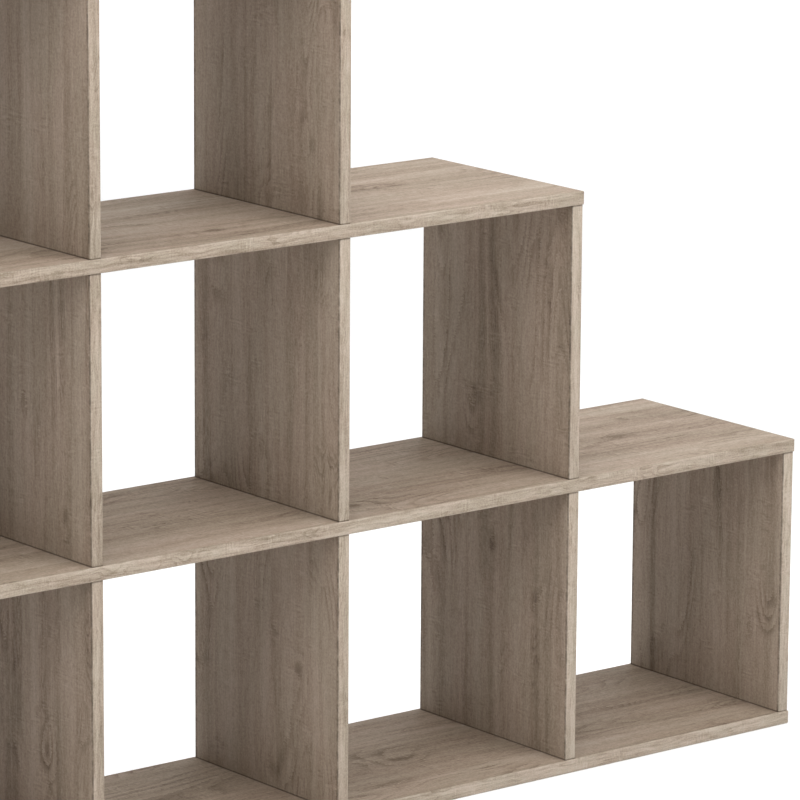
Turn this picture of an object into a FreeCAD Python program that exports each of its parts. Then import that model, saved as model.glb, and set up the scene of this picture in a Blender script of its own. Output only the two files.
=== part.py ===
# Stepped open-backed bookcase of laminated board, a staircase of square compartments.
#
# Long horizontal boards run through from end to end. Short upright panels stand between
# them, and each row has one compartment fewer than the row below. Nothing that holds them
# shows: flat beech dowels, glued into slots, join the foot and the head of every panel to
# the boards. All outer edges of boards and panels carry edge bands.
#
# Millimetres. +X to the right, where the steps go down, +Y to the back, +Z up.
# The origin is on the floor, under the middle of the bottom board.

import FreeCAD, Part
import os

from FreeCAD import Vector

# Compartments
columns = 4                     # compartments in the bottom row, one fewer in each row above
opening_width = 330.0           # clear width of a compartment, from panel to panel
opening_height = 330.0          # clear height of a compartment, from board to board

# Boards and panels
board_thickness = 16.0          # horizontal boards
board_depth = 285.0             # front to back, over the edge bands
board_end_overhang = 1.5        # board end beyond the outer face of the end panel
panel_thickness = 15.0          # upright panels
panel_front_setback = 1.25      # panel's front edge behind the boards' front edge
panel_back_setback = 3.75       # panel's back edge ahead of the boards' back edge
panel_end_bevel = 0.6           # along the cut ends of a panel's two faces

# Edge bands
edge_band_thickness = 2.0
board_edge_bevel = 0.8          # round the top and the underside of a board
panel_edge_bevel = 1.0          # on the upright edges of the panels' bands

# Flat dowels: pointed ovals of pressed beech, half in the panel and half in the board
flat_dowel_length = 53.0
flat_dowel_width = 19.0
flat_dowel_thickness = 4.0
glue_gap = 0.1                  # between a flat dowel and each wall of its slot
slot_end_room = 0.5             # slot deeper than half a flat dowel's width
slot_side_room = 3.5            # slot longer than a flat dowel, past each of its tips
foot_dowel_inset = 45.0         # in a panel's foot, from its front and back edges to the dowels
head_dowel_offset = 40.0        # in a panel's head, from its middle to the dowels on either side

# Places and sizes worked out from those above
rows = columns
column_pitch = opening_width + panel_thickness
row_pitch = opening_height + board_thickness
outer_width = columns * column_pitch + panel_thickness + 2 * board_end_overhang
left_end = -outer_width / 2
board_front = -board_depth / 2
board_back = board_depth / 2
panel_front = board_front + panel_front_setback
panel_back = board_back - panel_back_setback
panel_middle = (panel_front + panel_back) / 2
board_corner_radius = edge_band_thickness       # seen from above, so that a long band holds its corners
foot_dowel_places = (panel_front + foot_dowel_inset, panel_back - foot_dowel_inset)
head_dowel_places = (panel_middle - head_dowel_offset, panel_middle + head_dowel_offset)
slot_width = flat_dowel_thickness + 2 * glue_gap
slot_depth = flat_dowel_width / 2 + slot_end_room
slot_half_length = flat_dowel_length / 2 + slot_side_room
slot_cutter_radius = (slot_half_length**2 + slot_depth**2) / (2 * slot_depth)

x_axis, y_axis, z_axis = Vector(1, 0, 0), Vector(0, 1, 0), Vector(0, 0, 1)


def columns_in_row(row):
    """Compartments in a row, counted from 1 at the floor."""
    return columns - (row - 1)


def panels_in_row(row):
    """Upright panels in a row: one more than its compartments, and none outside the rows."""
    return columns_in_row(row) + 1 if 1 <= row <= rows else 0


def panel_left(place):
    """X of the left face of the panel at a place, counted from 0 at the left end."""
    return left_end + board_end_overhang + place * column_pitch


def board_bottom(level):
    """Z of the underside of a board, counted from 0 at the floor."""
    return level * row_pitch


def board_top(level):
    return board_bottom(level) + board_thickness


def board_name(level):
    if level == 0:
        return "bottom_board"
    if level == rows:
        return "top_board"
    return f"shelf_{level}"


def panel_name(row, place):
    if place == 0:
        return f"row_{row}_left_panel"
    if place == panels_in_row(row) - 1:
        return f"row_{row}_right_panel"
    return f"row_{row}_divider_{place}"


def slab(low, high):
    """A box between two corners."""
    size = high - low
    return Part.makeBox(size.x, size.y, size.z, low)


def edges_along(shape, axis):
    """The straight edges of a box that run along an axis."""
    return [edge for edge in shape.Edges if edge.tangentAt(edge.FirstParameter).cross(axis).Length < 1e-6]


def level_edges(shape):
    """The edges that lie level, straight or round."""
    return [edge for edge in shape.Edges if edge.BoundBox.ZLength < 1e-6]


def take_off_bands(whole, front, back):
    """Cut a piece into its front edge band, its middle and its back edge band."""
    box = whole.BoundBox
    cuts = [box.YMin, front + edge_band_thickness, back - edge_band_thickness, box.YMax]
    return [
        whole.common(slab(Vector(box.XMin, near, box.ZMin), Vector(box.XMax, far, box.ZMax))).Solids[0]
        for near, far in zip(cuts, cuts[1:])
    ]


def dowel_slot(x, y, face, upward):
    """The cut of a round cutter, plunged into a level face from below (upward) or from above."""
    rise = slot_depth - slot_cutter_radius
    centre_height = face + rise if upward else face - rise
    start = Vector(x - slot_width / 2, y, centre_height)
    return Part.makeCylinder(slot_cutter_radius, slot_width, start, x_axis)


def board_slots(level):
    """Slots in a board's top for the panels that stand on it, and in its underside for those below."""
    slots = []
    for place in range(panels_in_row(level + 1)):
        x = panel_left(place) + panel_thickness / 2
        slots += [dowel_slot(x, y, board_top(level), upward=False) for y in foot_dowel_places]
    for place in range(panels_in_row(level)):
        x = panel_left(place) + panel_thickness / 2
        slots += [dowel_slot(x, y, board_bottom(level), upward=True) for y in head_dowel_places]
    return slots


def make_board(level):
    """One horizontal board: its core with the dowel slots, and the four edge bands round it."""
    last_place = columns_in_row(max(level, 1))
    right_end = panel_left(last_place) + panel_thickness + board_end_overhang
    low = Vector(left_end, board_front, board_bottom(level))
    high = Vector(right_end, board_back, board_top(level))
    plain = slab(low, high)
    rounded = plain.makeFillet(board_corner_radius, edges_along(plain, z_axis))
    whole = rounded.makeChamfer(board_edge_bevel, level_edges(rounded))
    front_band, middle, back_band = take_off_bands(whole, board_front, board_back)

    between_end_bands = slab(low + x_axis * edge_band_thickness, high - x_axis * edge_band_thickness)
    end_bands = middle.cut(between_end_bands).Solids
    core = middle.common(between_end_bands).cut(board_slots(level)).Solids[0]
    return core, Part.makeCompound([front_band, back_band, *end_bands])


def make_panel(row, place):
    """One upright panel: its core with a pair of slots in each end, and its two edge bands."""
    foot, head = board_top(row - 1), board_bottom(row)
    low = Vector(panel_left(place), panel_front, foot)
    high = Vector(panel_left(place) + panel_thickness, panel_back, head)
    plain = slab(low, high)
    bevelled_ends = plain.makeChamfer(panel_end_bevel, edges_along(plain, y_axis))
    bevelled_edges = plain.makeChamfer(panel_edge_bevel, edges_along(plain, z_axis))
    whole = bevelled_ends.common(bevelled_edges)
    front_band, middle, back_band = take_off_bands(whole, panel_front, panel_back)

    x = panel_left(place) + panel_thickness / 2
    slots = [dowel_slot(x, y, foot, upward=True) for y in foot_dowel_places]
    slots += [dowel_slot(x, y, head, upward=False) for y in head_dowel_places]
    core = middle.cut(slots).Solids[0]
    return core, Part.makeCompound([front_band, back_band])


def make_flat_dowel(x, y, joint_height):
    """A pointed oval of two arcs, standing across a joint between a board and a panel."""
    near_tip = Vector(x, y - flat_dowel_length / 2, joint_height)
    far_tip = Vector(x, y + flat_dowel_length / 2, joint_height)
    crown = Vector(x, y, joint_height + flat_dowel_width / 2)
    keel = Vector(x, y, joint_height - flat_dowel_width / 2)
    outline = Part.Wire([
        Part.Arc(near_tip, crown, far_tip).toShape(),
        Part.Arc(far_tip, keel, near_tip).toShape(),
    ])
    oval = Part.Face(outline)
    oval.translate(x_axis * (-flat_dowel_thickness / 2))
    return oval.extrude(x_axis * flat_dowel_thickness)


def make_flat_dowels():
    """Two flat dowels in the foot and two in the head of every panel."""
    dowels = []
    for row in range(1, rows + 1):
        for place in range(panels_in_row(row)):
            x = panel_left(place) + panel_thickness / 2
            dowels += [make_flat_dowel(x, y, board_top(row - 1)) for y in foot_dowel_places]
            dowels += [make_flat_dowel(x, y, board_bottom(row)) for y in head_dowel_places]
    return Part.makeCompound(dowels)


def make_nodes():
    """Every node of the bookcase by name."""
    nodes = {}
    for level in range(rows + 1):
        name = board_name(level)
        nodes[name], nodes[f"{name}_edge_bands"] = make_board(level)
    for row in range(1, rows + 1):
        for place in range(panels_in_row(row)):
            name = panel_name(row, place)
            nodes[name], nodes[f"{name}_edge_bands"] = make_panel(row, place)
    nodes["flat_dowels"] = make_flat_dowels()
    return nodes


os.makedirs("parts", exist_ok=True)
for node, shape in make_nodes().items():
    shape.exportStep(f"parts/{node}.step")
    print(f"{node}: {len(shape.Solids)} solids, {shape.Volume / 1000:.1f} cm3, valid {shape.isValid()}")
print(f"outer size {outer_width:.1f} x {board_depth:.1f} x {board_top(rows):.1f}")
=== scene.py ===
# %% [markdown]
# # A stepped bookcase of oak-decor board
#
# The real piece is a bookcase that can divide a room: long boards run through from end to end,
# short upright panels stand between them, and each row going up has one compartment fewer. It has
# no back, so it is seen from both sides. In this lesson the construction model is loaded as a
# fixed frame, and Blender adds what a maker would call the finish: the edge bands with their soft
# edges, the oak decor of boards and panels, the floor, the light and the camera.

# %% Load the frame
import math

import bmesh
import bpy
from mathutils import Matrix, Vector


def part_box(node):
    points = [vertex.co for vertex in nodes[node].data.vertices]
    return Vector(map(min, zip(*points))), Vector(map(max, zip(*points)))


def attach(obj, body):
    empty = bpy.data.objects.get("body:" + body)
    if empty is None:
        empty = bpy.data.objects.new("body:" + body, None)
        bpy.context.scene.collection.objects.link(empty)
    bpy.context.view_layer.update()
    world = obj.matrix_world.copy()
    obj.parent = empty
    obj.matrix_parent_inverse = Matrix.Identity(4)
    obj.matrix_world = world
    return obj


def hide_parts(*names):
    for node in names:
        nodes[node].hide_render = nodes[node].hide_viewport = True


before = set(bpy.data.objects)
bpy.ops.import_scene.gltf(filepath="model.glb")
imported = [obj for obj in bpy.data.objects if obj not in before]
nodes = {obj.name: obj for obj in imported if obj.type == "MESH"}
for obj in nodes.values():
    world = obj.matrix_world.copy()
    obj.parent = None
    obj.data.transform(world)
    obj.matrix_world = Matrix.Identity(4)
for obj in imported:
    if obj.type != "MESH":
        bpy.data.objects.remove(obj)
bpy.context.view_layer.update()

# %% [markdown]
# ## Measuring instead of typing
#
# Every size below could be typed in again, but then it would go wrong the day the bookcase is
# made a little wider. The boards and panels are already there, so they are measured: a node's
# lowest and highest corners give thicknesses, pitches and places. The long boards and the
# upright panels are told apart by their names. Blender counts in metres, while a maker, and the
# decor further down, count in millimetres.

# %% Sizes of boards and panels
MM = 1000.0
BAND_ENDING = "_edge_bands"
DOWELS = "flat_dowels"
core_names = [name for name in nodes if not name.endswith(BAND_ENDING) and name != DOWELS]
panel_names = sorted(name for name in core_names if name.startswith("row_"))
board_names = [name for name in core_names if name not in panel_names]
board_names.sort(key=lambda name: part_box(name)[0].z)

board_low, board_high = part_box(board_names[0])
board_thickness = board_high.z - board_low.z
row_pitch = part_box(board_names[1])[0].z - board_low.z
panel_low, panel_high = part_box("row_1_left_panel")
panel_thickness = panel_high.x - panel_low.x
panel_height = panel_high.z - panel_low.z
column_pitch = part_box("row_1_divider_1")[0].x - panel_low.x
band_thickness = board_low.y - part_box(board_names[0] + BAND_ENDING)[0].y

measured = {
    "board": board_thickness,
    "panel": panel_thickness,
    "band": band_thickness,
    "row pitch": row_pitch,
    "column pitch": column_pitch,
}
print(len(board_names), "boards and", len(panel_names), "panels, in mm:",
      {title: round(size * MM, 2) for title, size in measured.items()})

# %% [markdown]
# ## A small language for node maths
#
# A wood finish needs a lot of arithmetic: distances, masks, sums of noise. Wiring each Math node
# by hand hides the formula, so one class wraps a socket and lets Python's own operators add the
# nodes: `1 - mask * 0.4` becomes two Math nodes. Shader trees and geometry trees both know the
# Math node, so the same class serves the finishes and, later, the edge bands.


# %% The socket class
class Wire:
    """An output socket that can be used in Python sums."""

    def __init__(self, sheet, socket):
        self.sheet = sheet
        self.socket = socket

    def math(self, operation, *values):
        settings = {"operation": operation}
        return self.sheet.add("ShaderNodeMath", settings, dict(enumerate(values)))["Value"]

    def __add__(self, other):
        return self.math("ADD", self, other)

    def __sub__(self, other):
        return self.math("SUBTRACT", self, other)

    def __rsub__(self, other):
        return self.math("SUBTRACT", other, self)

    def __mul__(self, other):
        return self.math("MULTIPLY", self, other)

    def __truediv__(self, other):
        return self.math("DIVIDE", self, other)

    def __rtruediv__(self, other):
        return self.math("DIVIDE", other, self)

    __radd__ = __add__
    __rmul__ = __mul__

    def floor(self):
        return self.math("FLOOR", self)

    def fraction(self):
        return self.math("FRACT", self)

    def size(self):
        return self.math("ABSOLUTE", self)

    def root(self):
        return self.math("SQRT", self)

    def least(self, other):
        return self.math("MINIMUM", self, other)

    def above(self, limit):
        """1 above the limit, else 0."""
        return self.math("GREATER_THAN", self, limit)

    def rise(self, start, end):
        """0 below start, 1 above end, with a soft step between them."""
        settings = {"interpolation_type": "SMOOTHSTEP", "clamp": True}
        sockets = {"Value": self, "From Min": start, "From Max": end}
        return self.sheet.add("ShaderNodeMapRange", settings, sockets)["Result"]


print("socket class ready")

# %% [markdown]
# ## Sheets of nodes
#
# A sheet is any tree of nodes. Everything that isn't plain arithmetic comes from its one method
# `add`: that sets a node's own settings first, such as the stops of a colour ramp, because some
# sockets only appear with them, and then fills the sockets with values or links them to wires.


# %% The sheet
class Outputs:
    """A node's outputs by name or number, each as a Wire."""

    def __init__(self, sheet, node):
        self.sheet = sheet
        self.node = node

    def __getitem__(self, key):
        return Wire(self.sheet, self.node.outputs[key])


def set_stops(ramp, stops):
    """Give a colour ramp these places and colours."""
    while len(ramp) < len(stops):
        ramp.new(0.5)
    for mark, (place, colour) in zip(ramp, stops):
        mark.position = place
        mark.color = colour


class Sheet:
    """A tree of nodes, and the one method that adds nodes to it."""

    def __init__(self, tree):
        self.tree = tree

    def set(self, socket, value):
        if isinstance(value, Wire):
            self.tree.links.new(value.socket, socket)
        else:
            socket.default_value = value

    def add(self, kind, settings=None, sockets=None):
        node = self.tree.nodes.new(kind)
        for name, value in (settings or {}).items():
            if name == "stops":
                set_stops(node.color_ramp.elements, value)
            else:
                setattr(node, name, value)
        for key, value in (sockets or {}).items():
            self.set(node.inputs[key], value)
        return Outputs(self, node)

    def vector(self, x, y, z):
        return self.add("ShaderNodeCombineXYZ", None, {0: x, 1: y, 2: z})["Vector"]

    def parts(self, vector):
        """The three parts of a vector."""
        split = self.add("ShaderNodeSeparateXYZ", None, {0: vector})
        return [split[axis] for axis in "XYZ"]


print("sheet ready")

# %% [markdown]
# ## Finishes
#
# A finish is a sheet that ends in a Principled shader. What stays the same all over, such as the
# gloss, is set on the shader itself; colour, roughness and normal are fed by wires. A finish also
# knows where a point lies on the bookcase and whether its surface looks sideways there.

# %% The finish
LOOKS_SIDEWAYS = (0.7, 0.9)
# The Mix node has sockets for numbers, vectors and colours under the same names, so they are counted
MIX_SHARE, MIX_FIRST, MIX_SECOND = 0, 6, 7
MIX_RESULT = 2


class Finish(Sheet):
    """A material with a Principled shader."""

    def __init__(self, name, **constants):
        self.material = bpy.data.materials.new(name)
        self.material.use_nodes = True
        super().__init__(self.material.node_tree)
        self.shader = self.tree.nodes["Principled BSDF"]
        self.wear(**constants)

    def wear(self, **sockets):
        """Feed the shader's sockets with values or wires."""
        for name, value in sockets.items():
            self.set(self.shader.inputs[name.replace("_", " ")], value)

    def place(self):
        """The point on the bookcase in millimetres, as three wires."""
        return [part * MM for part in self.parts(self.add("ShaderNodeTexCoord")["Object"])]

    def sideways(self):
        """1 where the surface looks left or right, 0 where it looks any other way."""
        facing = self.add("ShaderNodeTexCoord")["Normal"]
        return self.parts(facing)[0].size().rise(*LOOKS_SIDEWAYS)

    def mixed(self, share, first, second, blend="MIX"):
        """Two colours mixed: first where share is 0, second where it is 1."""
        settings = {"data_type": "RGBA", "blend_type": blend}
        sockets = {MIX_SHARE: share, MIX_FIRST: first, MIX_SECOND: second}
        return self.add("ShaderNodeMix", settings, sockets)[MIX_RESULT]

    def ramped(self, value, stops):
        """A colour looked up between the stops."""
        return self.add("ShaderNodeValToRGB", {"stops": stops}, {"Fac": value})["Color"]

    def bumped(self, height, depth_mm, strength):
        """A surface normal from a height that runs from 0 to 1."""
        sockets = {"Height": height, "Distance": depth_mm / MM, "Strength": strength}
        return self.add("ShaderNodeBump", None, sockets)["Normal"]


print("finish ready")

# %% [markdown]
# ## Oak decor: noise along the grain
#
# Boards and panels are covered with a printed oak decor, matt and grey-beige. A photograph of a
# plank could be wrapped on, but it would repeat and show its resolution. Here the decor is drawn
# in layers. Nearly all of them start from a noise with patches that are narrow across the grain
# and long along it, so the same recipe serves a board whose grain lies level and a panel whose
# grain stands upright, and no two pieces are alike. A place is three lengths: across the grain,
# along it, and into the wood. Grain never runs quite straight, so most layers are drawn on a
# place that sways from side to side.

# %% Noise and sway
ACROSS, ALONG = 0, 1


def grain_noise(finish, place, patch, detail=1.0, roughness=0.5):
    """Noise in patches of this width and length in millimetres, from 0 to 1 around 0.5."""
    across, along, depth = place
    width, length = patch
    spot = finish.vector(across / width, along / length, depth / width)
    sockets = {"Vector": spot, "Scale": 1.0, "Detail": detail, "Roughness": roughness}
    return finish.add("ShaderNodeTexNoise", {"noise_dimensions": "3D"}, sockets)["Fac"]


def grain_swing(finish, place, patch, detail=1.0, roughness=0.5):
    """The same noise, around 0."""
    return grain_noise(finish, place, patch, detail, roughness) - 0.5


def swaying(finish, place, sways):
    """The place moved sideways: each sway is a patch, a reach in millimetres and a detail."""
    across, along, depth = place
    for patch, reach, detail in sways:
        across = across + grain_swing(finish, place, patch, detail) * reach
    return across, along, depth


print("grain noise ready")

# %% [markdown]
# ## Oak decor: growth
#
# A year's growth in oak starts pale and ends in a dark line. A wave would look the same from
# both sides, so a growth line here climbs slowly and falls off sharply, each time some value
# passes a whole number. Broad layers run along the grain. Veins are the crests of a long narrow
# noise, and in places they carry short slanting barbs, as a feather does. A small comb-like noise
# frays veins and barbs.

# %% Layers, veins and feathers
LAYER_WIDTH, LAYER_WANDER, LAYER_MEAN = 29.0, 3.0, 0.45
LAYER_PATCH, LAYER_SHAPE = (70.0, 900.0), (0.1, 0.95, 0.955)
VEIN_PATCH, VEIN_EDGE, VEIN_FRAY = (23.0, 480.0), (0.59, 0.65), 0.06
BARB_LENGTH, BARB_SLANT, BARB_LEAN = 27.0, 17.0, 5.0
BARB_SHAPE, BARB_FRAY = (0.25, 0.85, 0.86), 0.40
LEAN_PATCH = (26.0, 60.0)
FEATHER_PATCH, FEATHER_EDGE, FEATHER_RIDGE = (60.0, 110.0), (0.50, 0.62), (0.53, 0.64)


def growth_line(value, shape):
    """A line before each whole number that value passes: a slow climb to its crest, a sharp fall."""
    start, crest, fall = shape
    phase = value.fraction()
    return phase.rise(start, crest) * (1.0 - phase.rise(fall, 1.0))


def growth_layers(finish, flow):
    """Broad layers along the grain, around 0."""
    wander = grain_noise(finish, flow, LAYER_PATCH) * LAYER_WANDER
    return growth_line(flow[ACROSS] / LAYER_WIDTH + wander, LAYER_SHAPE) - LAYER_MEAN


def veins_and_feathers(finish, straight, flow, comb):
    """Dark veins along the grain, and the barbs that some of them carry, each from 0 to 1."""
    ridge = grain_noise(finish, flow, VEIN_PATCH)
    veins = (ridge + comb * VEIN_FRAY).rise(*VEIN_EDGE)
    lean = grain_noise(finish, straight, LEAN_PATCH) * BARB_LEAN
    slant = straight[ALONG] / BARB_LENGTH + ridge * BARB_SLANT + lean
    barbs = growth_line(slant + comb * BARB_FRAY, BARB_SHAPE)
    feathered = grain_noise(finish, straight, FEATHER_PATCH).rise(*FEATHER_EDGE)
    return veins, barbs * (ridge.rise(*FEATHER_RIDGE) * feathered)


print("growth ready")

# %% [markdown]
# ## Oak decor: flames and knots
#
# Where the saw runs through bent layers, the growth lines show as flames: long pointed arches,
# like the contour lines of a hill on a map. That is how they are drawn here, as the contours of
# a gentle noise. A knot adds a steep little hill, so that the lines close round its dark eye.
# Knots come from a Voronoi texture, which tells how far the nearest of its scattered points is.

# %% Flames and knots
KNOT_CELL = (170.0, 340.0)
KNOT_SLICE, KNOT_SLICE_START = 7.0, 0.035
KNOT_SHIFT = (3.37, 5.71)
KNOT_HILL, KNOT_REACH, KNOT_FLAMES = 1.8, 0.21, 0.6
EYE_EDGE, EYE_FRAY = (0.008, 0.05), 0.02
FLAME_PATCH, FLAME_LINES = (46.0, 230.0), 9.0
FLAME_SHAPE, FLAME_FRAY = (0.40, 0.92, 0.93), 0.45
CLEAR_PATCH, CLEAR_EDGE = (55.0, 150.0), (0.50, 0.66)


def knot_distance(finish, place):
    """How far the nearest knot is, from 0 in its eye; each slice of depth has knots of its own."""
    across, along, depth = place
    cut = (depth / KNOT_SLICE + KNOT_SLICE_START).floor()
    spot = finish.vector(across / KNOT_CELL[ACROSS] + cut * KNOT_SHIFT[ACROSS],
                         along / KNOT_CELL[ALONG] + cut * KNOT_SHIFT[ALONG], 0.0)
    settings = {"voronoi_dimensions": "2D", "feature": "F1", "distance": "EUCLIDEAN"}
    sockets = {"Vector": spot, "Scale": 1.0, "Randomness": 1.0}
    return finish.add("ShaderNodeTexVoronoi", settings, sockets)["Distance"]


def flames_and_eyes(finish, straight, flow, comb):
    """Flames in clear places and round knots, and the knots' dark eyes, each from 0 up."""
    distance = knot_distance(finish, flow)
    near_knot = 1.0 - distance.rise(0.0, KNOT_REACH)
    hill = grain_noise(finish, flow, FLAME_PATCH, 0.0) * FLAME_LINES + near_knot * KNOT_HILL
    lines = growth_line(hill + comb * FLAME_FRAY, FLAME_SHAPE)
    clear = grain_noise(finish, straight, CLEAR_PATCH).rise(*CLEAR_EDGE)
    eyes = 1.0 - (distance + comb * EYE_FRAY).rise(*EYE_EDGE)
    return lines * (clear + near_knot * KNOT_FLAMES), eyes


print("flames and knots ready")

# %% [markdown]
# ## Oak decor: fine marks, and the sum of all layers
#
# Broad zones and streaks give the wood its stripes, fibres and a felt of tiny dots its surface.
# Pores are short and dark, hairlines long and pale, and a rough saw leaves patches of cross
# marks. Every layer has a share in the tone: with a positive share it lightens the wood, with a
# negative share it darkens it. Pores are also a little deep, and marks and felt a little rough, so
# they make the height for the bump. One more slow noise lets the hue drift.

# %% The layers of the oak
OAK_SWAYS = [((95.0, 460.0), 26.0, 2.0), ((16.0, 75.0), 3.5, 2.0)]
COMB_PATCH = (5.5, 2.2)
HAIR_EDGE = (0.60, 0.72)
PORE_EDGE = (0.58, 0.74)
OAK_HUE_PATCH = (38.0, 140.0)
OAK_TONE, OAK_HEIGHT = 0.532, 0.6
OAK_TONE_SHARES = {
    "zones": 0.37, "streaks": 0.34, "fibres": 0.31, "felt": 0.39, "comb": 0.18, "marks": 0.42,
    "hairs": 0.07, "layers": -0.05, "veins": -0.07, "barbs": -0.13, "flames": -0.15,
    "pores": -0.07, "eyes": -0.16,
}
OAK_HEIGHT_SHARES = {"pores": -0.5, "marks": 0.5, "felt": 0.3}
SAWN_STEP = 0.14


def saw_marks(finish, straight, flow, mark, patch, start):
    """Marks across the grain, around 0, in the patches where the saw was rough."""
    sawn = grain_noise(finish, straight, patch).rise(start, start + SAWN_STEP)
    return grain_swing(finish, flow, mark) * sawn


def summed(layers, shares):
    """The sum of the layers, each with its share."""
    return sum(layers[name] * share for name, share in shares.items())


def oak_layers(finish, across, along, depth):
    """Tone of the decor around 0.5, the height of its pores and marks, and a slow drift of hue."""
    straight = (across, along, depth)
    flow = swaying(finish, straight, OAK_SWAYS)
    comb = grain_swing(finish, flow, COMB_PATCH)
    veins, barbs = veins_and_feathers(finish, straight, flow, comb)
    flames, eyes = flames_and_eyes(finish, straight, flow, comb)
    layers = {
        "zones": grain_swing(finish, flow, (44.0, 1100.0)),
        "streaks": grain_swing(finish, flow, (12.0, 560.0), 2.0),
        "fibres": grain_swing(finish, flow, (2.6, 15.0), 2.0, 0.6),
        "felt": grain_swing(finish, straight, (1.9, 2.8), 2.0, 0.6),
        "comb": comb,
        "marks": saw_marks(finish, straight, flow, (16.0, 2.7), (42.0, 30.0), 0.56),
        "hairs": grain_noise(finish, flow, (2.0, 60.0)).rise(*HAIR_EDGE),
        "layers": growth_layers(finish, flow),
        "veins": veins,
        "barbs": barbs,
        "flames": flames,
        "pores": grain_noise(finish, flow, (0.9, 9.0)).rise(*PORE_EDGE),
        "eyes": eyes,
    }
    tone = OAK_TONE + summed(layers, OAK_TONE_SHARES)
    height = OAK_HEIGHT + summed(layers, OAK_HEIGHT_SHARES)
    return tone, height, grain_noise(finish, flow, OAK_HUE_PATCH)


print("oak recipe of", len(OAK_TONE_SHARES), "layers ready")

# %% [markdown]
# ## Oak decor: colour and surface
#
# The tone picks a colour from three: dark, middle and light oak. Where the hue drifts, the wood
# turns a trace greener. The surface is matt, and its grain is about a tenth of a millimetre
# deep. Dark wood is a little rougher than light wood.

# %% Colour and surface of the oak
OAK_DARK = (0.134, 0.094, 0.066, 1.0)
OAK_MIDDLE = (0.265, 0.203, 0.153, 1.0)
OAK_LIGHT = (0.386, 0.311, 0.252, 1.0)
OAK_STOPS = [(0.18, OAK_DARK), (0.50, OAK_MIDDLE), (0.82, OAK_LIGHT)]
OAK_TINT, TINT_EDGE = (0.970, 0.995, 0.985, 1.0), (0.35, 0.65)
OAK_GLOSS = 0.2
MIDDLE_TONE = 0.5
GRAIN_DEPTH_MM, GRAIN_STRENGTH = 0.12, 0.35
FACE_ROUGHNESS, ROUGHNESS_SWING = 0.60, 0.3


def oak_colour(finish, tone, hue):
    """Dark, middle or light oak by tone, a little greener where hue is high."""
    return finish.mixed(hue.rise(*TINT_EDGE), finish.ramped(tone, OAK_STOPS), OAK_TINT, "MULTIPLY")


def oak_surface(oak, colour, tone, height, roughness=FACE_ROUGHNESS):
    """Feed colour, roughness and fine grain to the shader, and give the finished material."""
    oak.wear(
        Base_Color=colour,
        Roughness=roughness + (MIDDLE_TONE - tone) * ROUGHNESS_SWING,
        Normal=oak.bumped(height, GRAIN_DEPTH_MM, GRAIN_STRENGTH),
    )
    return oak.material


print("oak colours ready")

# %% [markdown]
# ## Boards: grain from end to end
#
# On the long boards the grain lies along the length. Height above the floor serves as the depth
# into the wood, which gives each board, and its top and underside, a figure of its own. Boards
# are cut from different sheets, so each also has its own tone: dark, middle and light follow each
# other going up. Their figure shows a little stronger than that of the panels.

# %% The board finish
board_mm = board_thickness * MM
pitch_mm = row_pitch * MM
# A share of the pitch, so that a surface right on a step is never counted with the step below
STEP_SLACK = 0.02
BOARD_CONTRAST = 1.12
BOARD_TONES, FIRST_BOARD = 3.0, 0.1
BOARD_LOWEST, BOARD_SPAN = -0.036, 0.160


def board_tone(z):
    """What a board's own tone adds."""
    level = (z / pitch_mm + STEP_SLACK).floor()
    share = (level / BOARD_TONES + FIRST_BOARD).fraction()
    return share * share * BOARD_SPAN + BOARD_LOWEST


def board_finish():
    oak = Finish("oak_board", Specular_IOR_Level=OAK_GLOSS)
    x, y, z = oak.place()
    tone, height, hue = oak_layers(oak, y, x, z)
    tone = MIDDLE_TONE + (tone - MIDDLE_TONE) * BOARD_CONTRAST + board_tone(z)
    return oak_surface(oak, oak_colour(oak, tone, hue), tone, height)


board_oak = board_finish()
print("made", board_oak.name, "with", len(board_oak.node_tree.nodes), "nodes")

# %% [markdown]
# ## Panels: grain upright, and two dark lines
#
# On the panels the grain stands upright. Every row was cut from another place of the sheet, so
# the row number shifts the pattern. Where a panel meets a board, a thin dark line of painted shade
# is drawn. Beside the bands, where the trimmer ran, a ragged seam shows here and there. Both could
# be painted by hand, but they lie at known distances from edges, so they are worked out from the
# place on the bookcase.

# %% The panel finish
# The colour of the ragged seam, and of the painted shade where a panel meets a board
SEAM_AND_SHADE = (0.045, 0.028, 0.017, 1.0)
JOINT_SHADE_WIDTH = (0.8, 2.2)
SEAM_WIDTH = (0.6, 2.4)
SEAM_RAGGED, RAGGED_PATCH = 3.0, (5.0, 5.0)
WORN_PATCH, WORN_EDGE = (7.0, 16.0), (0.30, 0.62)
PANEL_JOINT_SHADE, PANEL_SEAM = 0.64, 0.62
ROW_SHIFT_ALONG, ROW_SHIFT_DEPTH = 1730.0, 137.0
core_front_mm = panel_low.y * MM
core_back_mm = panel_high.y * MM


def joint_shade_line(z):
    """Painted shade: 1 on the line where a panel meets the board below or above it, 0 elsewhere."""
    above_board = (z / pitch_mm).fraction() * pitch_mm
    gap = (above_board - board_mm).least(pitch_mm - above_board)
    return 1.0 - gap.rise(*JOINT_SHADE_WIDTH)


def worn_edge(finish, x, along):
    """Short stretches along an upright edge where the seam beside the band shows, from 0 to 1."""
    return grain_noise(finish, (x, along, x), WORN_PATCH, 3.0, 0.7).rise(*WORN_EDGE)


def both_lines(joint, seam):
    """Two dark lines as one mask."""
    return 1.0 - (1.0 - joint) * (1.0 - seam)


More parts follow.
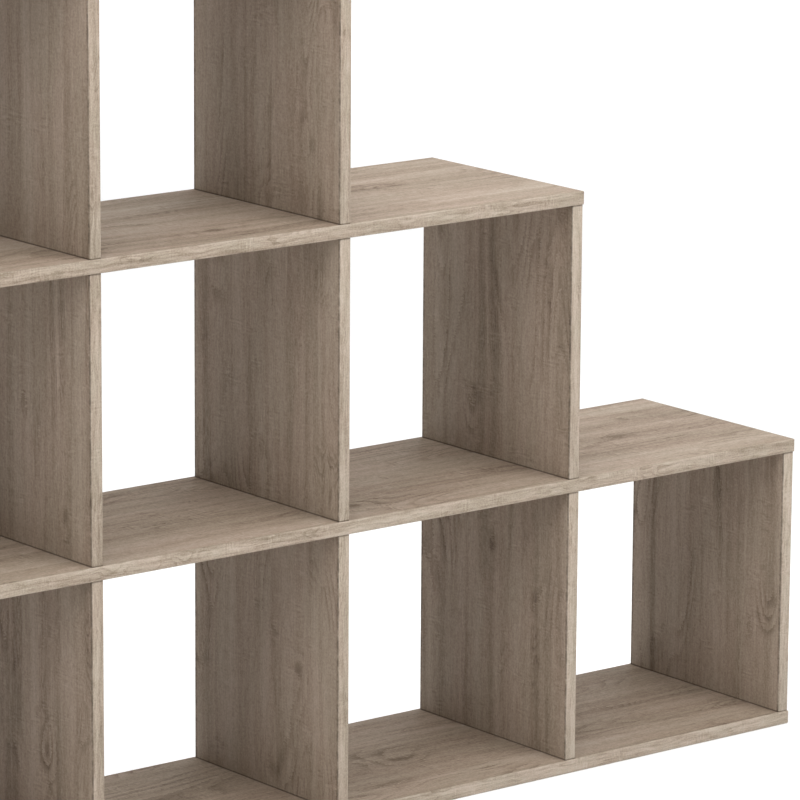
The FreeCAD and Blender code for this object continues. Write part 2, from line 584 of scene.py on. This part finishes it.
def panel_finish():
    oak = Finish("oak_panel", Specular_IOR_Level=OAK_GLOSS)
    x, y, z = oak.place()
    row = (z / pitch_mm).floor()
    along = z + row * ROW_SHIFT_ALONG
    tone, height, hue = oak_layers(oak, y, along, x + row * ROW_SHIFT_DEPTH)
    band_gap = (y - core_front_mm).least(core_back_mm - y)
    ragged = grain_swing(oak, (x, along, x), RAGGED_PATCH) * SEAM_RAGGED
    seam = (1.0 - (band_gap + ragged).rise(*SEAM_WIDTH)) * worn_edge(oak, x, along)
    # Painted shade where the panel meets a board, and the ragged seam beside the bands
    dark = both_lines(joint_shade_line(z) * PANEL_JOINT_SHADE, seam * PANEL_SEAM)
    colour = oak.mixed(dark, oak_colour(oak, tone, hue), SEAM_AND_SHADE)
    return oak_surface(oak, colour, tone, height)


panel_oak = panel_finish()
print("made", panel_oak.name, "with", len(panel_oak.node_tree.nodes), "nodes")

# %% [markdown]
# ## Edge bands: a finer and greyer oak
#
# The bands are strips of the same oak, printed finer: short lively fibres, small flames and cross
# marks, and a trace greyer than the faces. Their rounded rims get a painted highlight, pale in
# patches. How far out on the strip a point lies can't be read from its place, so the rim is an
# attribute that the band meshes will carry.

# %% The layers of the bands
RIM = "rim"
# How much the painted highlight lifts the tone on the rims
RIM_EDGE, RIM_HIGHLIGHT_LIFT = (0.40, 0.485), 0.10
HIGHLIGHT_PATCH, HIGHLIGHT_EDGE = (6.0, 14.0), (0.42, 0.62)
BAND_SWAYS = [((18.0, 60.0), 8.0, 1.0)]
BAND_FLAME_PATCH, BAND_FLAME_LINES, BAND_FLAME_SHAPE = (13.0, 48.0), 6.0, (0.35, 0.90, 0.91)
BAND_CLEAR_PATCH, BAND_CLEAR_EDGE = (40.0, 70.0), (0.50, 0.64)
BAND_HUE_PATCH = (20.0, 60.0)
BAND_TINT = (0.955, 0.991, 1.0, 1.0)
BAND_TONE_SHARES = {
    "zones": 0.35, "streaks": 0.58, "fibres": 0.58, "felt": 0.50, "marks": 0.44, "flames": -0.16,
}
BAND_HEIGHT = 0.5
BAND_HEIGHT_SHARES = {"fibres": 0.4, "marks": 0.5, "felt": 0.4}


def band_layers(finish, across, along, depth, contrast):
    """Tone around 0.5 with this contrast, height and hue of a band."""
    straight = (across, along, depth)
    flow = swaying(finish, straight, BAND_SWAYS)
    hill = grain_noise(finish, flow, BAND_FLAME_PATCH) * BAND_FLAME_LINES
    clear = grain_noise(finish, straight, BAND_CLEAR_PATCH).rise(*BAND_CLEAR_EDGE)
    layers = {
        "zones": grain_swing(finish, flow, (16.0, 240.0)),
        "streaks": grain_swing(finish, flow, (4.0, 100.0), 2.0),
        "fibres": grain_swing(finish, flow, (1.7, 20.0), 2.0, 0.6),
        "felt": grain_swing(finish, straight, (1.5, 2.4), 2.0, 0.6),
        "marks": saw_marks(finish, straight, flow, (10.0, 2.4), (40.0, 34.0), 0.54),
        "flames": growth_line(hill, BAND_FLAME_SHAPE) * clear,
    }
    tone = MIDDLE_TONE + summed(layers, BAND_TONE_SHARES) * contrast
    height = BAND_HEIGHT + summed(layers, BAND_HEIGHT_SHARES)
    return tone, height, grain_noise(finish, straight, BAND_HUE_PATCH)


def band_colour(finish, tone, hue):
    """The oak of the bands, a trace greyer than that of the faces."""
    return finish.mixed(1.0, oak_colour(finish, tone, hue), BAND_TINT, "MULTIPLY")


def rim_highlight(finish, place):
    """The painted highlight added to the tone: nothing on the flat of a band, a lift in patches on its
    rims.
    """
    rim = finish.add("ShaderNodeAttribute", {"attribute_name": RIM})["Fac"]
    patches = grain_noise(finish, place, HIGHLIGHT_PATCH, 3.0, 0.65).rise(*HIGHLIGHT_EDGE)
    return rim.rise(*RIM_EDGE) * patches * RIM_HIGHLIGHT_LIFT


print("band recipe of", len(BAND_TONE_SHARES), "layers ready")

# %% [markdown]
# ## Bands of the panels and of the boards
#
# On a panel the strip stands upright. Each column of panels has its own tone, as if four rolls of
# band had been used in turn, and the seam and the painted shade at the boards go on over the band.
# On a board the strip runs along the front and turns round the corners, so at the ends its grain
# follows the depth of the board; the direction that the surface looks decides which. The lowest
# board's strip is paler.

# %% The band finishes
panel_left_mm = panel_low.x * MM
column_mm = column_pitch * MM
PANEL_BAND_LIFT, PANEL_BAND_CONTRAST, PANEL_BAND_ROUGHNESS = 0.130, 1.0, 0.62
BAND_JOINT_SHADE, BAND_SEAM = 0.60, 0.55
BAND_ROW_SHIFT = 911.0
BAND_ROLLS, FIRST_ROLL = 4.0, 0.75
ROLL_MEAN, ROLL_SPAN = 0.37, 0.18
BOARD_BAND_LIFT, BOARD_BAND_CONTRAST = 0.080, 1.05
LOWEST_BAND_LIFT, LOWEST_EDGE = 0.065, (0.3, 0.6)
END_SHIFT = 400.0


def panel_band_finish():
    oak = Finish("oak_panel_band", Specular_IOR_Level=OAK_GLOSS)
    x, y, z = oak.place()
    row = (z / pitch_mm).floor()
    column = ((x - panel_left_mm) / column_mm + STEP_SLACK).floor()
    roll = (column / BAND_ROLLS + FIRST_ROLL).fraction()
    tone, height, hue = band_layers(oak, x, z + row * BAND_ROW_SHIFT, y, PANEL_BAND_CONTRAST)
    # The tone, with a painted highlight in patches on the rims
    tone = tone + PANEL_BAND_LIFT + (roll - ROLL_MEAN) * ROLL_SPAN + rim_highlight(oak, (x, z, y))
    seam = oak.sideways() * worn_edge(oak, x, z + row * ROW_SHIFT_ALONG)
    # Painted shade where the band meets a board, and the seam on its sides
    dark = both_lines(joint_shade_line(z) * BAND_JOINT_SHADE, seam * BAND_SEAM)
    colour = oak.mixed(dark, band_colour(oak, tone, hue), SEAM_AND_SHADE)
    return oak_surface(oak, colour, tone, height, PANEL_BAND_ROUGHNESS)


def board_band_finish():
    oak = Finish("oak_board_band", Specular_IOR_Level=OAK_GLOSS)
    x, y, z = oak.place()
    sideways = oak.sideways()
    along = x * (1.0 - sideways) + (y + END_SHIFT) * sideways
    depth = y * (1.0 - sideways) + x * sideways
    tone, height, hue = band_layers(oak, z, along, depth, BOARD_BAND_CONTRAST)
    lowest = 1.0 - (z / pitch_mm).rise(*LOWEST_EDGE)
    # The tone, with a painted highlight in patches on the rims
    tone = tone + BOARD_BAND_LIFT + lowest * LOWEST_BAND_LIFT + rim_highlight(oak, (z, along, depth))
    return oak_surface(oak, band_colour(oak, tone, hue), tone, height)


panel_band_oak = panel_band_finish()
board_band_oak = board_band_finish()
print("made", panel_band_oak.name, "and", board_band_oak.name)

# %% [markdown]
# ## Beech for the hidden dowels
#
# Pressed beech is pinkish and full of short darker flecks. It never shows on the standing
# bookcase, but the dowels are pieces of the part and get their own wood, from the same noise.

# %% The beech finish
BEECH_DARK = (0.28, 0.15, 0.08, 1.0)
BEECH_LIGHT = (0.62, 0.42, 0.28, 1.0)
BEECH_STOPS = [(0.1, BEECH_DARK), (0.8, BEECH_LIGHT)]
BEECH_PATCH, BEECH_SWING = (3.0, 40.0), 0.8
FLECK_PATCH, FLECK_EDGE, FLECK_SHADE = (0.5, 3.0), (0.55, 0.70), 0.25
FLECK_DEPTH_MM, FLECK_STRENGTH = 0.1, 0.3


def beech_finish():
    beech = Finish("pressed_beech", Roughness=0.6)
    x, y, z = beech.place()
    place = (z, y, x)
    flecks = grain_noise(beech, place, FLECK_PATCH).rise(*FLECK_EDGE)
    stripes = grain_swing(beech, place, BEECH_PATCH, 2.0) * BEECH_SWING
    tone = MIDDLE_TONE + stripes - flecks * FLECK_SHADE
    beech.wear(
        Base_Color=beech.ramped(tone, BEECH_STOPS),
        Normal=beech.bumped(1.0 - flecks, FLECK_DEPTH_MM, FLECK_STRENGTH),
    )
    return beech.material


dowel_beech = beech_finish()
print("made", dowel_beech.name)

# %% [markdown]
# ## Dressing the boards and panels
#
# The solids of boards, panels and dowels already have the right shape, so they stay, and only
# their material changes.


# %% Give each node its finish
def dress(name, material):
    slots = nodes[name].data.materials
    slots.clear()
    slots.append(material)


for name in board_names:
    dress(name, board_oak)
for name in panel_names:
    dress(name, panel_oak)
dress(DOWELS, dowel_beech)
print("dressed", len(board_names), "boards,", len(panel_names), "panels and the dowels")

# %% [markdown]
# ## Bands with soft edges, made by Geometry Nodes
#
# In the construction model the bands have small flat bevels. On the real bookcase they are
# rounded, and light runs softly over them, so the bands are made again. Twenty-eight upright
# bands repeat one shape, and each board's band follows one path round the board: both are work
# for Geometry Nodes. Such a tree is one more sheet of nodes, with its sizes as named inputs. It
# grows on a start mesh, and the result is kept as a plain mesh.

# %% Helpers for the bands
WELD_DISTANCE = 1e-6
SHARP_ANGLE = math.radians(40.0)


class BandSheet(Sheet):
    """A geometry tree with named sizes."""

    def __init__(self, name, sizes):
        super().__init__(bpy.data.node_groups.new(name, "GeometryNodeTree"))
        self.tree.is_modifier = True
        face = self.tree.interface
        face.new_socket("Geometry", in_out="INPUT", socket_type="NodeSocketGeometry")
        face.new_socket("Geometry", in_out="OUTPUT", socket_type="NodeSocketGeometry")
        self.identifiers = {}
        for size in sizes:
            socket = face.new_socket(size, in_out="INPUT", socket_type="NodeSocketFloat")
            self.identifiers[size] = socket.identifier
        self.given = self.add("NodeGroupInput")

    def finish(self, geometry, material):
        """Real geometry in one material, as the tree's result."""
        solid = self.add("GeometryNodeRealizeInstances", None, {0: geometry})[0]
        painted = self.add("GeometryNodeSetMaterial", None, {0: solid, "Material": material})[0]
        self.add("NodeGroupOutput", None, {0: painted})


def closed(mesh):
    """Weld the mesh's doubled points and turn its faces outwards."""
    shell = bmesh.new()
    shell.from_mesh(mesh)
    bmesh.ops.remove_doubles(shell, verts=shell.verts, dist=WELD_DISTANCE)
    bmesh.ops.recalc_face_normals(shell, faces=shell.faces)
    shell.to_mesh(mesh)
    shell.free()
    return mesh


def grown(name, start_mesh, sheet, sizes):
    """The tree's result on a start mesh, as a plain mesh object at the origin."""
    seed = bpy.data.objects.new(name + "_start", start_mesh)
    bpy.context.scene.collection.objects.link(seed)
    modifier = seed.modifiers.new(name, "NODES")
    modifier.node_group = sheet.tree
    for size, metres in sizes.items():
        modifier[sheet.identifiers[size]] = metres
    shown = seed.evaluated_get(bpy.context.evaluated_depsgraph_get())
    mesh = closed(bpy.data.meshes.new_from_object(shown))
    bpy.data.objects.remove(seed)

    mesh.name = name
    mesh.shade_smooth()
    mesh.set_sharp_from_angle(angle=SHARP_ANGLE)
    piece = bpy.data.objects.new(name, mesh)
    bpy.context.scene.collection.objects.link(piece)
    return piece


print("band helpers ready")

# %% [markdown]
# ### The section of a band
#
# A strip's section is a rectangle with its inner face on the path and its two outer corners
# rounded. Before it is swept, each of its points notes how far it lies from the middle of the
# strip, as a share of the width. Sweeping hands that on to the mesh, and the finish reads it to
# find the rims.

# %% The section
ROUNDING_POINTS = 5


def strip_section(sheet):
    """A closed section: inner face on the path, outer corners rounded."""
    width = sheet.given["Width"]
    thickness = sheet.given["Thickness"]
    half = thickness * 0.5
    outline = sheet.add("GeometryNodeCurvePrimitiveQuadrilateral", {"mode": "RECTANGLE"},
                        {"Width": width, "Height": thickness})[0]
    outline = sheet.add("GeometryNodeSetPosition", None,
                        {"Geometry": outline, "Offset": sheet.vector(0.0, half, 0.0)})[0]
    sideways, outwards = sheet.parts(sheet.add("GeometryNodeInputPosition")[0])[:2]
    radius = outwards.above(half) * sheet.given["Rounding"]
    rounded = sheet.add("GeometryNodeFilletCurve", {"mode": "POLY"},
                        {"Curve": outline, "Radius": radius, "Count": ROUNDING_POINTS,
                         "Limit Radius": True})[0]
    return sheet.add("GeometryNodeStoreNamedAttribute", {"data_type": "FLOAT", "domain": "POINT"},
                     {"Geometry": rounded, "Name": RIM, "Value": (sideways / width).size()})[0]


print("section with", ROUNDING_POINTS, "points in each rounded corner ready")

# %% [markdown]
# ### Panel bands
#
# A cut strip has its sharp ends broken with a file. So the section is swept up a line of four
# points: at the two ends it is a little smaller, and at the two points just inside it has its
# full size. The band is set on a point at the foot of every panel edge. The points carry a turn,
# so that front bands face forwards and back bands face backwards.

# %% Upright bands
PANEL_ROUNDING = 0.0011
END_BREAK = 0.0006
LINE_POINTS = 4
TURN = "turn"


def point_mesh(name, places, turns):
    mesh = bpy.data.meshes.new(name)
    mesh.from_pydata(places, [], [])
    mesh.attributes.new(TURN, "FLOAT", "POINT").data.foreach_set("value", turns)
    return mesh


def upright_band(sheet):
    """One band from its foot at the origin upwards, with broken ends."""
    height = sheet.given["Height"]
    end_break = sheet.given["End break"]
    top = sheet.vector(0.0, 0.0, height)
    line = sheet.add("GeometryNodeCurvePrimitiveLine", None, {"Start": (0.0, 0.0, 0.0), "End": top})[0]
    line = sheet.add("GeometryNodeResampleCurve", {"mode": "COUNT"},
                     {"Curve": line, "Count": LINE_POINTS})[0]
    # The points lie at the foot, one break above it, one break below the head, and at the head
    from_middle = sheet.add("GeometryNodeInputIndex")[0] - (LINE_POINTS - 1) / 2
    upper = from_middle.above(0.0)
    end = from_middle.size().above(1.0)
    z = upper * height + (1.0 - end) * end_break * (1.0 - upper * 2.0)
    line = sheet.add("GeometryNodeSetPosition", None,
                     {"Geometry": line, "Position": sheet.vector(0.0, 0.0, z)})[0]
    scale = 1.0 - end * (end_break / sheet.given["Width"]) * 2.0
    return sheet.add("GeometryNodeCurveToMesh", None,
                     {"Curve": line, "Profile Curve": strip_section(sheet), "Scale": scale,
                      "Fill Caps": True})[0]


def upright_sheet(material):
    sheet = BandSheet("upright_bands", ["Height", "Width", "Thickness", "Rounding", "End break"])
    turn = sheet.add("GeometryNodeInputNamedAttribute", {"data_type": "FLOAT"}, {"Name": TURN})[0]
    points = sheet.add("GeometryNodeMeshToPoints", None, {"Mesh": sheet.given["Geometry"]})[0]
    bands = sheet.add("GeometryNodeInstanceOnPoints", None,
                      {"Points": points, "Instance": upright_band(sheet),
                       "Rotation": sheet.vector(0.0, 0.0, turn)})[0]
    sheet.finish(bands, material)
    return sheet


feet, turns = [], []
for name in panel_names:
    foot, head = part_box(name)
    middle = (foot.x + head.x) / 2
    feet += [(middle, foot.y, foot.z), (middle, head.y, foot.z)]
    turns += [math.pi, 0.0]
band_feet = point_mesh("band_feet", feet, turns)
panel_bands = grown("panel_bands", band_feet, upright_sheet(panel_band_oak), {
    "Height": panel_height,
    "Width": panel_thickness,
    "Thickness": band_thickness,
    "Rounding": PANEL_ROUNDING,
    "End break": END_BREAK,
})
print("panel bands:", len(feet), "strips,", len(panel_bands.data.polygons), "faces,",
      [round(metres * MM, 2) for metres in panel_bands.dimensions])

# %% [markdown]
# ### Board bands
#
# Four separate strips would show a joint at every corner of a board. Here the outline of each
# board's core is a closed loop of four edges. It becomes a curve, its corners turn on a tiny
# radius, and the section is swept round it in one piece, as a band that is bent round the corners
# would lie.

# %% Bands round the boards
BOARD_ROUNDING = 0.0013
CORNER_TURN = 0.0001
CORNER_POINTS = 8
QUARTER_TURN = (0.0, 0.0, math.radians(-90.0))


def outline_mesh(name, boxes):
    """A closed loop round each box, half way up."""
    spots, loops = [], []
    for lowest, highest in boxes:
        first = len(spots)
        level = (lowest.z + highest.z) / 2
        spots += [(lowest.x, lowest.y, level), (highest.x, lowest.y, level),
                  (highest.x, highest.y, level), (lowest.x, highest.y, level)]
        loops += [(first + corner, first + (corner + 1) % 4) for corner in range(4)]
    mesh = bpy.data.meshes.new(name)
    mesh.from_pydata(spots, loops, [])
    return mesh


def outline_sheet(material):
    sheet = BandSheet("outline_bands", ["Width", "Thickness", "Rounding", "Corner turn"])
    section = sheet.add("GeometryNodeTransform", None,
                        {"Geometry": strip_section(sheet), "Rotation": QUARTER_TURN})[0]
    path = sheet.add("GeometryNodeMeshToCurve", None, {"Mesh": sheet.given["Geometry"]})[0]
    path = sheet.add("GeometryNodeFilletCurve", {"mode": "POLY"},
                     {"Curve": path, "Radius": sheet.given["Corner turn"], "Count": CORNER_POINTS,
                      "Limit Radius": True})[0]
    path = sheet.add("GeometryNodeSetCurveNormal", {"mode": "Z_UP"}, {"Curve": path})[0]
    band = sheet.add("GeometryNodeCurveToMesh", None,
                     {"Curve": path, "Profile Curve": section, "Fill Caps": False})[0]
    sheet.finish(band, material)
    return sheet


outlines = outline_mesh("board_outlines", [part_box(name) for name in board_names])
board_bands = grown("board_bands", outlines, outline_sheet(board_band_oak), {
    "Width": board_thickness,
    "Thickness": band_thickness,
    "Rounding": BOARD_ROUNDING,
    "Corner turn": CORNER_TURN,
})
print("board bands:", len(board_names), "strips,", len(board_bands.data.polygons), "faces,",
      [round(metres * MM, 2) for metres in board_bands.dimensions])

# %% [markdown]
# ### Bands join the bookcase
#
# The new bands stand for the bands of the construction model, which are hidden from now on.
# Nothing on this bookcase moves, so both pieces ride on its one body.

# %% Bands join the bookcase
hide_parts(*[name + BAND_ENDING for name in panel_names])
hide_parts(*[name + BAND_ENDING for name in board_names])
for piece in (panel_bands, board_bands):
    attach(piece, "root")
print("bands ride on root")

# %% [markdown]
# ## Floor
#
# A plain pale floor, so wide that its far edge never shows, also when the bookcase is looked at
# from a low angle. In a studio, a white floor is lit on its own, or the shade of the furniture
# turns it grey. Here it glows a little by itself: everywhere a trace, more just behind the
# bookcase, where its own shade falls, and most far away, where the lamps no longer reach.

# %% The floor
FLOOR_REACH = 60.0
FLOOR_DROP = 0.0005
FLOOR_DARK = (0.67, 0.67, 0.67, 1.0)
FLOOR_LIGHT = (0.71, 0.71, 0.71, 1.0)
FLOOR_STOPS = [(0.3, FLOOR_DARK), (0.7, FLOOR_LIGHT)]
CLOUD_PATCH = (900.0, 900.0)
GLOW, GLOW_BEHIND, GLOW_FAR = 0.21, 0.30, 0.75
SHADE_START, SHADE_END, SHADE_SIDES = (60.0, 140.0), (250.0, 800.0), (700.0, 1500.0)
FAR_AWAY = (2500.0, 7500.0)


def floor_finish():
    paint = Finish("pale_floor", Roughness=0.8, Emission_Strength=1.0)
    x, y, z = paint.place()
    cloud = grain_noise(paint, (x, y, z), CLOUD_PATCH, 3.0)
    reach = (x * x + y * y).root()
    near = 1.0 - reach.rise(*SHADE_SIDES)
    behind = y.rise(*SHADE_START) * (1.0 - y.rise(*SHADE_END)) * near
    glow = GLOW + behind * GLOW_BEHIND + reach.rise(*FAR_AWAY) * GLOW_FAR
    paint.wear(
        Base_Color=paint.ramped(cloud, FLOOR_STOPS),
        Emission_Color=paint.vector(glow, glow, glow),
    )
    return paint.material


floor_mesh = bpy.data.meshes.new("floor")
corners = [(-1.0, -1.0), (1.0, -1.0), (1.0, 1.0), (-1.0, 1.0)]
floor_spots = [(x * FLOOR_REACH, y * FLOOR_REACH, -FLOOR_DROP) for x, y in corners]
floor_mesh.from_pydata(floor_spots, [], [(0, 1, 2, 3)])
floor_mesh.materials.append(floor_finish())
floor = bpy.data.objects.new("floor", floor_mesh)
bpy.context.scene.collection.objects.link(floor)
print("floor", 2 * FLOOR_REACH, "m wide")

# %% [markdown]
# ## Walls of the studio
#
# Blender's world, which is all that lies beyond the floor, is one more sheet of nodes. It is
# nearly dark above, so that the lamps alone model the bookcase, and bright from the horizon up to
# a low height, which stands for the studio's white walls and shows when the camera is low.

# %% The walls
WALL_LIGHT, SKY_LIGHT = 0.98, 0.03
WALL_TOP = (0.08, 0.16)
scene = bpy.context.scene
scene.view_settings.view_transform = "Standard"
world = bpy.data.worlds.new("studio_walls")
world.use_nodes = True
walls = Sheet(world.node_tree)
sky = world.node_tree.nodes["Background"]
sky.inputs["Color"].default_value = (1.0, 1.0, 1.0, 1.0)
height = walls.parts(walls.add("ShaderNodeTexCoord")["Generated"])[2]
walls.set(sky.inputs["Strength"], WALL_LIGHT - height.rise(*WALL_TOP) * (WALL_LIGHT - SKY_LIGHT))
scene.world = world
print("walls", WALL_LIGHT, "bright, sky", SKY_LIGHT)

# %% [markdown]
# ## Light
#
# Furniture is photographed between large soft lamps, so that every edge reads and no shadow has
# a hard border. Seven soft panels stand round the bookcase. The one overhead lights the tops,
# those in front light the edge bands, the one on the left fills the sides of the panels that the
# camera sees, and those at the back come through the open compartments. Each is given by its
# place, the point that it faces, its width and its watts.


# %% Soft panels
def soft_panel(name, place, target, width, watts):
    lamp = bpy.data.lights.new(name, "AREA")
    lamp.shape = "SQUARE"
    lamp.size = width
    lamp.energy = watts
    holder = bpy.data.objects.new(name, lamp)
    holder.location = place
    holder.rotation_euler = (Vector(target) - Vector(place)).to_track_quat("-Z", "Y").to_euler()
    holder.visible_camera = False
    scene.collection.objects.link(holder)
    return holder


FOOT = (0.0, 0.0, 0.0)
MIDDLE = (0.0, 0.0, 0.6)
soft_panels = [
    soft_panel("overhead_panel", (0.0, 0.0, 5.0), FOOT, 5.0, 222.0),
    soft_panel("front_panel", (0.5, -5.0, 4.0), MIDDLE, 4.0, 143.0),
    soft_panel("right_front_panel", (2.6, -4.2, 4.6), MIDDLE, 3.0, 164.0),
    soft_panel("left_front_panel", (-2.0, -3.5, 5.0), MIDDLE, 3.0, 128.0),
    soft_panel("left_panel", (-5.0, -1.0, 3.0), MIDDLE, 4.0, 168.0),
    soft_panel("back_panel", (0.0, 4.0, 4.0), MIDDLE, 5.0, 54.0),
    soft_panel("right_back_panel", (4.5, 3.0, 3.0), MIDDLE, 3.0, 37.0),
]
print(len(soft_panels), "soft panels, together", sum(panel.data.energy for panel in soft_panels), "W")

# %% [markdown]
# ## Camera
#
# The bookcase is seen from the left and a little from above, through a long lens, which keeps
# its verticals nearly parallel. The focal length is written in pixels of the picture, as a fit of
# straight edges gives it. Yaw, pitch and a trace of roll are turned into the camera's own axes.

# %% The camera
IMAGE_SIDE = 800
FOCAL_PIXELS = 5215.5
SENSOR_MM = 36.0
CAMERA_PLACE = (-3.5603, -4.7139, 1.8059)
CAMERA_DEGREES = (38.525, 12.652, 0.364)
FARTHEST = 300.0
yaw, pitch, roll = (math.radians(angle) for angle in CAMERA_DEGREES)

camera_data = bpy.data.cameras.new("camera")
camera_data.sensor_width = SENSOR_MM
camera_data.lens = SENSOR_MM * FOCAL_PIXELS / IMAGE_SIDE
camera_data.clip_end = FARTHEST
camera = bpy.data.objects.new("camera", camera_data)
level_right = Vector((math.cos(yaw), -math.sin(yaw), 0.0))
level_ahead = Vector((math.sin(yaw), math.cos(yaw), 0.0))
up = Vector((0.0, 0.0, 1.0))
ahead = level_ahead * math.cos(pitch) - up * math.sin(pitch)
tilted_up = level_ahead * math.sin(pitch) + up * math.cos(pitch)
right = level_right * math.cos(roll) + tilted_up * math.sin(roll)
top = tilted_up * math.cos(roll) - level_right * math.sin(roll)
axes = Matrix((right, top, -ahead)).transposed().to_4x4()
camera.matrix_world = Matrix.Translation(CAMERA_PLACE) @ axes
scene.collection.objects.link(camera)
scene.camera = camera
print("lens", round(camera_data.lens, 1), "mm")
